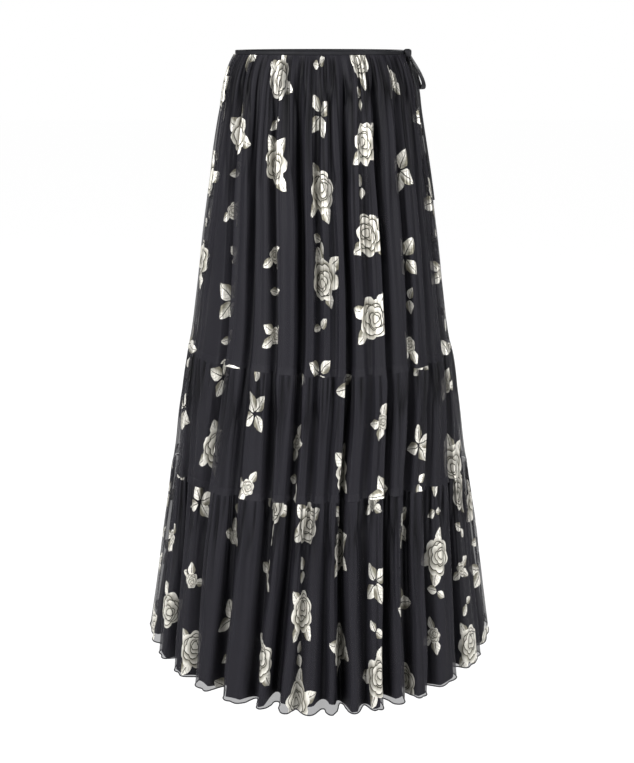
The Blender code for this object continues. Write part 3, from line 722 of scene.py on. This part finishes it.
# Soft ripples: height, cell across and down, slant and the order of their random draw
RIPPLES = ((0.0006, 0.016, 0.17, 0.0, 10), (0.0015, 0.036, 0.13, 0.22, 30))
RIPPLE_START = 0.03
FLUTTER = 0.0014
FLUTTER_CELL = (0.012, 0.05)
# The seam's allowance holds the cloth above it out a little
LEDGE = 0.0012
LEDGE_WAVE = 0.0008
LEDGE_REACH = 0.008
SIDE_SEAM_HOLD = 0.010
# Painted shade in the main folds' hollows: how dark it gets, and the inset at which it is full
FOLD_SHADE = 0.75
FOLD_SHADE_DEPTH = 0.016


def tier_panel(tier, side):
    """Grid of points, flat cloth metres and painted crease and fold shade of one panel with its gathers."""
    facts = TIERS[tier]
    shares = np.linspace(0, 1, facts.rows)
    angle, inset = tier_columns(side, tier, shares)
    top, bottom = tier_edges(tier, angle)
    drop = top + (bottom - top) * shares
    xy = np.stack(plan_point(angle, *outline(drop), inset), axis=-1)
    steps = even_steps(xy[:, int(facts.rows * REFERENCE_ROW)], facts.columns)
    angle, inset = read_spline(angle, steps), read_spline(inset, steps)
    even = np.linspace(0, 1, facts.columns)
    if tier == 0:
        depth_down = np.clip(shares * facts.length / SETTLE_DROP, 0, 1)
        found = depth_down ** 2 * (3 - 2 * depth_down)
        spread = even_angles(angle[0, 0], angle[-1, 0], EDGE_DROP, even)
        angle = angle * found + spread[:, None] * (1 - found)
    top, bottom = tier_edges(tier, angle)
    drop = top + (bottom - top) * shares
    x, y = plan_point(angle, *outline(drop), inset)
    points = np.stack([x, y, -drop], axis=-1).transpose(1, 0, 2)
    across = facts.width * even[None, :] + 0 * points[..., 0]
    down = shares[:, None] * facts.length + 0 * points[..., 0]
    seed = 20 + tier * 2 + (side == "back")
    runs = 1.25 + 0.85 * soft_noise(across, 0 * down, facts.pucker_cell * 2, 1.0, seed + 50)
    fade = np.exp(-down / (facts.pucker_run * runs)) * (1 - np.exp(-(down + 0.0015) / facts.pucker_start))
    crease = (1 - np.abs(soft_noise(across, down, facts.pucker_cell, PUCKER_LENGTH, seed))) ** 2
    moved = facts.pucker_depth * (0.3 - crease) * fade
    if tier < 2:
        above_seam = np.exp((down - facts.length) / LEDGE_REACH)
        moved += (LEDGE + LEDGE_WAVE * soft_noise(across, down, 0.008, 0.05, seed + 60)) * above_seam
    for height, cell, cell_down, slant, kind in RIPPLES:
        settled = 1 - np.exp(-down / RIPPLE_START)
        moved += height * soft_noise(across + slant * down, down, cell, cell_down, seed + kind) * settled
    if tier == 2:
        moved += FLUTTER * soft_noise(across, down, *FLUTTER_CELL, seed + 40) * shares[:, None] ** 4
    edge = np.clip(np.minimum(across, facts.width - across) / SIDE_SEAM_HOLD, 0, 1)
    points = push_out(points, moved * edge)
    cut_x = facts.cut_x + (BACK_CUT if side == "back" else 0)
    flat = np.stack([across + cut_x, facts.cut_y - down], axis=-1)
    # Painted shade: dark along the small gathers' creases near the top edge, and in the main folds' hollows
    painted_hollow_shade = FOLD_SHADE * np.clip(inset.T / FOLD_SHADE_DEPTH, 0, 1)
    return points, flat, np.maximum(crease ** 0.8 * np.minimum(1.5 * fade, 1), painted_hollow_shade)


panels = {}
for tier, facts in enumerate(TIERS):
    for side in SIDES:
        name = f"{facts.name}_{side}"
        points, flat, gathered = tier_panel(tier, side)
        panel = cloth_sheet(f"{name}_cloth", points, flat, PATTERNED, gathered)
        finish_piece(panel, [name])
        panels[name] = points

# The gathered seams.
# Each tier's lower edge and the gathered top of the next are sewn together, and the
# turned-up allowance shows as a second layer just above the seam.
ALLOWANCE = 0.0100
ALLOWANCE_BACK = 0.0005
for tier in (0, 1):
    facts = TIERS[tier]
    rows = max(3, int(round(ALLOWANCE / facts.length * facts.rows)) + 1)
    for side in SIDES:
        set_back = -ALLOWANCE_BACK * np.ones((rows, facts.columns))
        strip = push_out(panels[f"{facts.name}_{side}"][-rows:], set_back)
        across = np.linspace(0, facts.width, facts.columns)[None, :] + 0 * strip[..., 0]
        flat = np.stack([across, strip[..., 2]], axis=-1)
        allowance = cloth_sheet(f"seam_{tier + 1}_allowance_{side}", strip, flat, PLAIN_GEORGETTE)
        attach(allowance, "root")

# The rolled hem.
# The raw edge of the last tier is rolled tightly to the inside and slip-stitched, which
# leaves a fine dense cord of cloth along it.
HEM_RADIUS = 0.0009
HEM_SIDES = 6
HEM_BLACK = (0.014, 0.014, 0.017, 1.0)
HEM_ROUGHNESS = 0.7
HEM_GRAIN = 2400.0
HEM_CLOTH = plain_crepe("rolled_hem_cloth", HEM_BLACK, HEM_ROUGHNESS, HEM_GRAIN)


def closed_tube(name, rings, material):
    """A tube through rings of points, closed at both ends, with its faces pointing out."""
    count, sides = rings.shape[:2]
    index = np.arange(count * sides).reshape(count, sides)
    after = np.roll(index, -1, axis=1)
    quads = np.stack([index[:-1], after[:-1], after[1:], index[1:]], axis=-1).reshape(-1, 4).tolist()
    ends = [index[0].tolist()[::-1], index[-1].tolist()]
    mesh = bpy.data.meshes.new(name)
    mesh.from_pydata(rings.reshape(-1, 3).tolist(), [], quads + ends)
    mesh.materials.append(material)
    shape = bmesh.new()
    shape.from_mesh(mesh)
    bmesh.ops.recalc_face_normals(shape, faces=shape.faces)
    shape.to_mesh(mesh)
    shape.free()
    mesh.shade_smooth()
    piece = bpy.data.objects.new(name, mesh)
    bpy.context.scene.collection.objects.link(piece)
    return piece


def roll_along(name, path, radius, sides, material):
    """A thin closed roll along a run of points that stays nearly level."""
    forward = np.gradient(path, axis=0)
    forward /= np.linalg.norm(forward, axis=1, keepdims=True)
    outward = np.cross(forward, (0.0, 0.0, 1.0))
    outward /= np.linalg.norm(outward, axis=1, keepdims=True)
    upward = np.cross(outward, forward)
    turns = np.linspace(0, 2 * pi, sides, endpoint=False)
    rings = [path + radius * (cos(turn) * outward + sin(turn) * upward) for turn in turns]
    return closed_tube(name, np.stack(rings, axis=1), material)


for side in SIDES:
    edge = panels[f"tier_3_{side}"][-1]
    hem = roll_along(f"rolled_hem_{side}", edge, HEM_RADIUS, HEM_SIDES, HEM_CLOTH)
    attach(hem, "root")

# The slip, front and back.
# A close, opaque slip of smooth dark satin, sewn into the waistband. Its folds lie
# inside the main folds of the tiers. It ends at their hem, lifted a little in places.
LINING = (
    ("drop", "ridge_inset", "ease"),
    (0.0058, 0.0032, 0.0004),
    (0.030, 0.0072, 0.0014),
    (0.060, 0.0080, 0.0016),
    (0.441, 0.0088, 0.0016),
    (0.500, 0.0106, 0.0016),
    (0.623, 0.0108, 0.0016),
    (0.700, 0.0102, 0.0016),
    (0.800, 0.0084, 0.0016),
    (0.920, 0.0050, 0.0016),
)
CLOTH_WALL = 0.0012
LINING_MOUTH_EASE = 0.0028
LINING_BOTTOM_EASE = 0.0022
LINING_MOUTH_LIMIT = 0.43
LINING_CLOSED_GAP = 0.016
LINING_OPEN_GAP = 0.030
# The slip's edge lifts here and there: how far, in waves how wide, and below which drop
LINING_LIFT = 0.013
LINING_LIFT_CELL = 0.034
LINING_LIFT_START = 0.80
# Rows of the mesh beside each tier, its columns and the row that they are spaced along
LINING_ROWS = (40, 16, 28)
LINING_COLUMNS = 320
LINING_REFERENCE_ROW = 0.8
LINING_WIDTH = 0.72
SLIP_BLACK = (0.0030, 0.0030, 0.0040, 1.0)
SATIN_ROUGHNESS = 0.42
SATIN_GRAIN = 1500.0
SATIN_GLOSS = 0.06


def lining_columns(side, tier, shares):
    """Angles and insets of the slip, whose folds wrap round the tiers' main folds."""
    folds, start_seam, end_seam = SIDES[side]
    lines = [start_seam] + [fold[:4] for fold in folds] + [end_seam]
    angles, drops = line_places(lines, tier, shares)
    table = column(LINING, "drop")
    ridge = np.interp(drops, table, column(LINING, "ridge_inset"))
    ease = np.interp(drops, table, column(LINING, "ease"))
    bottoms = [ridge[0]]
    for k, fold in enumerate(folds):
        depth = trough(fold, drops[k + 1])[0]
        bottoms.append(np.maximum(ridge[k + 1], depth + CLOTH_WALL + ease[k + 1]))
    bottoms.append(ridge[-1])
    columns = [(angles[0], ridge[0])]
    for k in range(len(lines) - 1):
        rate, gap = gap_between(angles, drops, k)
        opened = np.clip((gap - LINING_CLOSED_GAP) / (LINING_OPEN_GAP - LINING_CLOSED_GAP), 0, 1)
        closed = np.minimum(bottoms[k], bottoms[k + 1])
        top = closed + (ridge[k] - closed) * opened
        for way, line in ((1, k), (-1, k + 1)):
            if not 0 < line < len(lines) - 1:
                continue
            fold = folds[line - 1]
            mouth = np.minimum(trough(fold, drops[line])[1], MOUTH_LIMIT * gap)
            shoulder = np.minimum(mouth + LINING_MOUTH_EASE, LINING_MOUTH_LIMIT * gap)
            bottom = way * (BOTTOM_SHARE * mouth + LINING_BOTTOM_EASE) + fold.lean * mouth
            low = (angles[line] + bottom / rate, bottoms[line])
            high = (angles[line] + way * shoulder / rate, top)
            columns += [low, high, high] if way > 0 else [high, high, low]
    columns.append((angles[-1], ridge[-1]))
    return np.array([c[0] for c in columns]), np.array([c[1] for c in columns])


def slip_panel(side):
    """Grid of points and flat metres of the slip's front or back."""
    levels = []
    for tier, rows in enumerate(LINING_ROWS):
        shares = np.linspace(0.0, 1.0, rows)[0 if tier == 0 else 1:]
        angle, inset = lining_columns(side, tier, shares)
        top, bottom = tier_edges(tier, angle)
        levels.append((angle, inset, top + (bottom - top) * shares))
    angle, inset, drop = [np.concatenate([level[part] for level in levels], axis=1) for part in range(3)]
    xy = np.stack(plan_point(angle, *outline(drop), inset), axis=-1)
    steps = even_steps(xy[:, int(xy.shape[1] * LINING_REFERENCE_ROW)], LINING_COLUMNS)
    angle, inset, drop = [read_spline(values, steps) for values in (angle, inset, drop)]
    across = LINING_WIDTH * np.linspace(0, 1, LINING_COLUMNS)[:, None] + 0 * drop
    lifted = np.clip(0.15 + soft_noise(across, 0 * drop, LINING_LIFT_CELL, 1.0, 90 + (side == "back")), 0, 1)
    low = np.clip((drop - LINING_LIFT_START) / (HEM_SIDE - LINING_LIFT_START), 0, 1)
    drop = drop - LINING_LIFT * lifted * low ** 2
    x, y = plan_point(angle, *outline(drop), inset)
    points = np.stack([x, y, -drop], axis=-1).transpose(1, 0, 2)
    return points, np.stack([across.T, points[..., 2]], axis=-1)


SATIN = plain_crepe("slip_satin", SLIP_BLACK, SATIN_ROUGHNESS, SATIN_GRAIN, SATIN_GLOSS)
for side in SIDES:
    points, flat = slip_panel(side)
    slip = cloth_sheet(f"slip_{side}", points, flat, SATIN)
    finish_piece(slip, [f"lining_{side}"])

# The tie.
# Narrow strips of the same crepe, folded lengthwise and pressed, tied in one small loop
# at the side of the waist. One tail is short and the other hangs down the side seam.
TIE_WALL = 0.0011
TIE_BLACK = (0.011, 0.011, 0.013, 1.0)
TIE_ROUGHNESS = 0.6
LOOP_PATH = (
    ("drop", "angle", "standoff", "width", "turn"),
    (0.0020, 82.0, 0.0070, 0.0050, 0.0),
    (0.0100, 81.2, 0.0056, 0.0090, 8.0),
    (0.0200, 80.2, 0.0066, 0.0116, 14.0),
    (0.0320, 79.2, 0.0094, 0.0116, 16.0),
    (0.0420, 78.6, 0.0110, 0.0110, 18.0),
    (0.0480, 78.4, 0.0110, 0.0106, 22.0),
    (0.0510, 78.4, 0.0100, 0.0106, 28.0),
    (0.0530, 78.4, 0.0086, 0.0106, 32.0),
    (0.0538, 78.4, 0.0070, 0.0106, 32.0),
    (0.0524, 78.4, 0.0056, 0.0106, 28.0),
    (0.0440, 78.4, 0.0044, 0.0108, 18.0),
    (0.0320, 78.8, 0.0042, 0.0112, 16.0),
    (0.0200, 80.0, 0.0038, 0.0098, 16.0),
    (0.0070, 82.0, 0.0030, 0.0046, 0.0),
)
SHORT_TAIL_PATH = (
    ("drop", "angle", "standoff", "width", "turn"),
    (0.0070, 79.0, 0.0028, 0.0046, 0.0),
    (0.0200, 75.4, 0.0018, 0.0070, 0.0),
    (0.0380, 73.2, 0.0016, 0.0085, 0.0),
    (0.0580, 72.8, 0.0018, 0.0085, 0.0),
    (0.0800, 73.2, 0.0022, 0.0080, 0.0),
)
LONG_TAIL_PATH = (
    ("drop", "angle", "standoff", "width", "turn"),
    (0.0070, 85.0, 0.0028, 0.0046, 0.0),
    (0.0200, 87.4, 0.0012, 0.0070, 8.0),
    (0.0450, 88.6, 0.0008, 0.0085, 18.0),
    (0.0850, 88.4, 0.0006, 0.0085, 22.0),
    (0.1300, 87.4, 0.0006, 0.0085, 22.0),
    (0.1750, 86.6, 0.0010, 0.0085, 20.0),
    (0.2150, 86.4, 0.0018, 0.0080, 14.0),
)
TIE_CLOTH = plain_crepe("tie_crepe", TIE_BLACK, TIE_ROUGHNESS, CREPE_SCALE)
KNOT_SIZE = (0.0158, 0.0108, 0.0124)
KNOT_TURN = 79.0
KNOT_SAG = 0.0022
SECTION_SIDES = 16
# Below 1 the section is flatter than an oval, as a pressed strip is
SECTION_POWER = 0.6
STEPS_PER_ROW = 7


def tie_strip(name, path):
    """A soft flat strip along a path that stands off the ridges."""
    count = (len(path) - 2) * STEPS_PER_ROW + 1
    rows = np.linspace(0, len(path) - 2, count)
    known = np.arange(len(path) - 1)
    drop, degrees, standoff, width, turn = [smooth(rows, known, column(path, name)) for name in path[0]]
    angle = np.radians(degrees)
    half_width, half_depth = outline(drop)
    x, y = plan_point(angle, half_width, half_depth, -standoff)
    middle = np.stack([x, y, -drop], axis=-1)
    along = np.stack([half_width * np.cos(angle), half_depth * np.sin(angle), 0 * angle], axis=-1)
    along /= np.linalg.norm(along, axis=1, keepdims=True)
    outward = np.stack([along[:, 1], -along[:, 0], along[:, 2]], axis=-1)
    turned = np.radians(turn)[:, None]
    across = along * np.cos(turned) + outward * np.sin(turned)
    forward = np.gradient(middle, axis=0)
    face = np.cross(forward, across)
    face /= np.linalg.norm(face, axis=1, keepdims=True)
    rings = []
    for turn_round in np.linspace(0, 2 * pi, SECTION_SIDES, endpoint=False):
        wide = np.sign(cos(turn_round)) * abs(cos(turn_round)) ** SECTION_POWER * width[:, None] / 2
        thick = np.sign(sin(turn_round)) * abs(sin(turn_round)) ** SECTION_POWER * TIE_WALL / 2
        rings.append(middle + across * wide + face * thick)
    length = float(np.linalg.norm(np.diff(middle, axis=0), axis=1).sum())
    return closed_tube(name, np.stack(rings, axis=1), TIE_CLOTH), length


TIE_PATHS = {"tie_loop": LOOP_PATH, "tie_tail_short": SHORT_TAIL_PATH, "tie_tail_long": LONG_TAIL_PATH}
for node, path in TIE_PATHS.items():
    strip, length = tie_strip(f"{node}_cloth", path)
    finish_piece(strip, [node])

knot_low, knot_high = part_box("tie_knot")
bpy.ops.mesh.primitive_cube_add(size=1.0)
knot = bpy.context.object
knot.name = "tie_knot_cloth"
bpy.ops.object.mode_set(mode="EDIT")
bpy.ops.mesh.select_all(action="SELECT")
bpy.ops.mesh.subdivide(number_cuts=1)
bpy.ops.object.mode_set(mode="OBJECT")
knot.scale = KNOT_SIZE
knot.rotation_euler = (0.0, 0.0, radians(KNOT_TURN))
knot.location = [(a + b) / 2 for a, b in zip(knot_low, knot_high)]
knot.location.z -= KNOT_SAG
bpy.ops.object.transform_apply(location=True, rotation=True, scale=True)
rounding = knot.modifiers.new("round", "SUBSURF")
rounding.levels = 2
rounding.render_levels = 2
bpy.ops.object.modifier_apply(modifier="round")
bpy.ops.object.shade_smooth()
knot.data.materials.clear()
knot.data.materials.append(TIE_CLOTH)
finish_piece(knot, ["tie_knot"])

# The studio.
# A plain pale floor below the hem, a white surround and broad soft lights, seen from
# the front and a little above.
FLOOR_DROP = 1.08
FLOOR_SIDES = (-9, 9)
FLOOR_DEPTH = (-5, 14)
FLOOR_GREY = 0.12
FLOOR_GLOW = 0.98
SURROUND_LIGHT = 0.06
KEY_LIGHT = 118
FILL_LIGHT = 66
BACK_LIGHT = 46
floor_mesh = bpy.data.meshes.new("floor")
floor_corners = [(FLOOR_SIDES[i], FLOOR_DEPTH[j], -FLOOR_DROP) for i, j in ((0, 0), (1, 0), (1, 1), (0, 1))]
floor_mesh.from_pydata(floor_corners, [], [(0, 1, 2, 3)])
floor = bpy.data.objects.new("floor", floor_mesh)
bpy.context.scene.collection.objects.link(floor)
paint, _, shader = new_material("pale_floor")
shader.inputs["Base Color"].default_value = (FLOOR_GREY, FLOOR_GREY, FLOOR_GREY, 1)
shader.inputs["Roughness"].default_value = 0.9
shader.inputs["Emission Color"].default_value = (1.0, 1.0, 1.0, 1.0)
shader.inputs["Emission Strength"].default_value = FLOOR_GLOW
floor_mesh.materials.append(paint)

world = bpy.data.worlds.new("studio")
bpy.context.scene.world = world
world.use_nodes = True
n = Nodes(world.node_tree)
seen = n.add("ShaderNodeLightPath").outputs["Is Camera Ray"]
background = world.node_tree.nodes["Background"]
background.inputs["Color"].default_value = (1, 1, 1, 1)
n.feed(background.inputs["Strength"], n.math("MULTIPLY_ADD", seen, 1.0 - SURROUND_LIGHT, SURROUND_LIGHT))


def softbox(name, place, target, power):
    """A square soft light of 1 m a side, turned to its target."""
    light = bpy.data.lights.new(name, "AREA")
    light.shape = "SQUARE"
    light.size = 1.0
    light.energy = power
    lamp = bpy.data.objects.new(name, light)
    lamp.location = place
    lamp.rotation_euler = (Vector(target) - Vector(place)).to_track_quat("-Z", "Y").to_euler()
    bpy.context.scene.collection.objects.link(lamp)


softbox("key", (-2.0, -2.3, 1.0), (0, 0, -0.45), KEY_LIGHT)
softbox("fill", (2.2, -2.1, 0.5), (0, 0, -0.5), FILL_LIGHT)
softbox("back", (1.3, 2.6, 1.1), (0, 0, -0.5), BACK_LIGHT)

CAMERA_TILT = radians(15.66)
CAMERA_PLACE = (-0.0044, -1.8915, 0.0331)
CAMERA_LENS = 59.81
camera = bpy.data.cameras.new("camera")
camera.lens = CAMERA_LENS
camera.sensor_width = 36.0
eye = bpy.data.objects.new("camera", camera)
eye.location = CAMERA_PLACE
eye.rotation_euler = (pi / 2 - CAMERA_TILT, 0, 0)
bpy.context.scene.collection.objects.link(eye)
bpy.context.scene.camera = eye
bpy.context.scene.view_settings.view_transform = "Standard"
